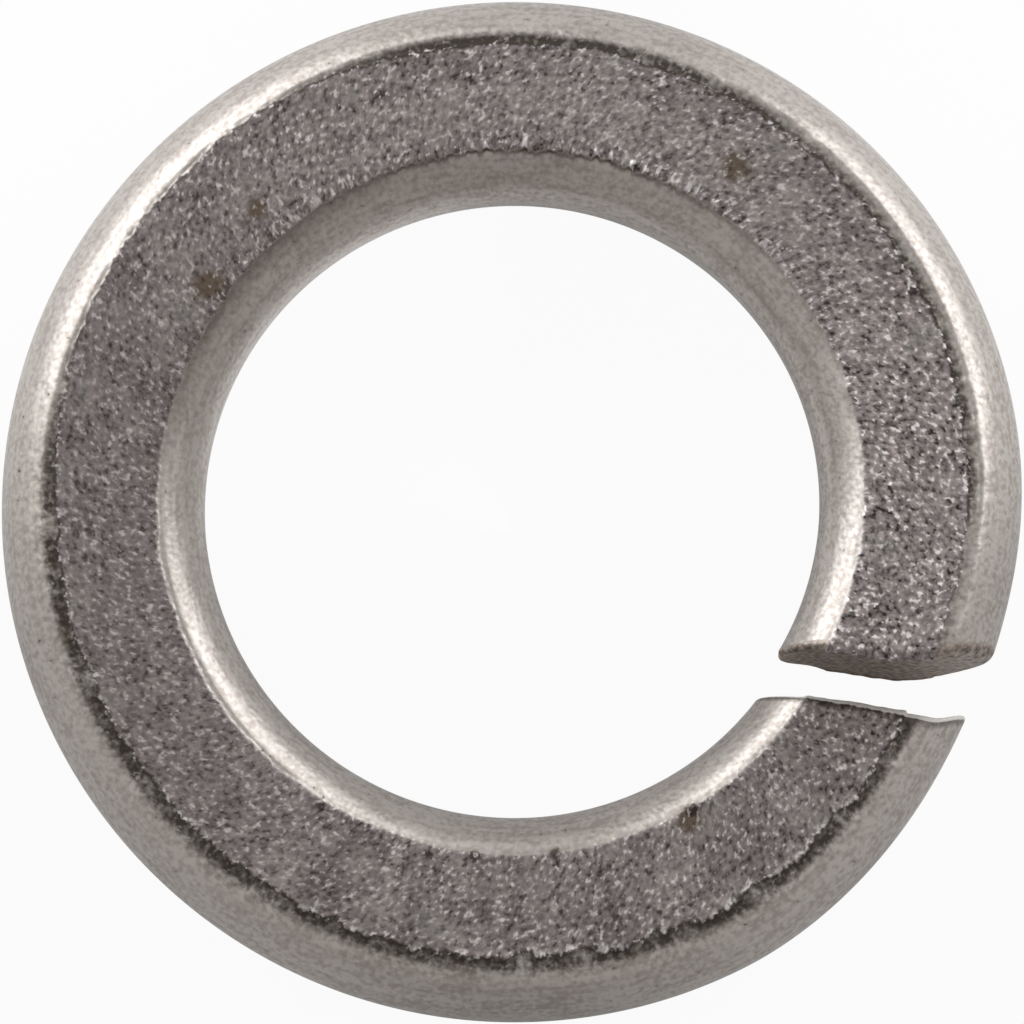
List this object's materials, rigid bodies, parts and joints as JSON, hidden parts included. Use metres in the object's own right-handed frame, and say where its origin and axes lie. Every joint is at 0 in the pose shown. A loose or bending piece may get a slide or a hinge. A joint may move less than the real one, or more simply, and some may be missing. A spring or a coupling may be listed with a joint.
{
  "type": "spring lock washer",
  "caption": "Split helical spring lock washer of rolled wire, with rounded sides, rough flat faces and offset ends, for a half-inch screw.",
  "frame": {"origin": "on the bore's axis, at the height of the coil's lowest point", "axes": "+Z along the bore's axis; the split is about 27 degrees clockwise of +X seen from +Z"},
  "size_m": [0.0218, 0.0218, 0.0059],
  "materials": {
    "steel": "satin stainless wire, smooth on the rounded sides and rough with scale pits on the flat faces"
  },
  "bodies": {
    "root": {"lock_washer": "steel"}
  },
  "joints": []
}
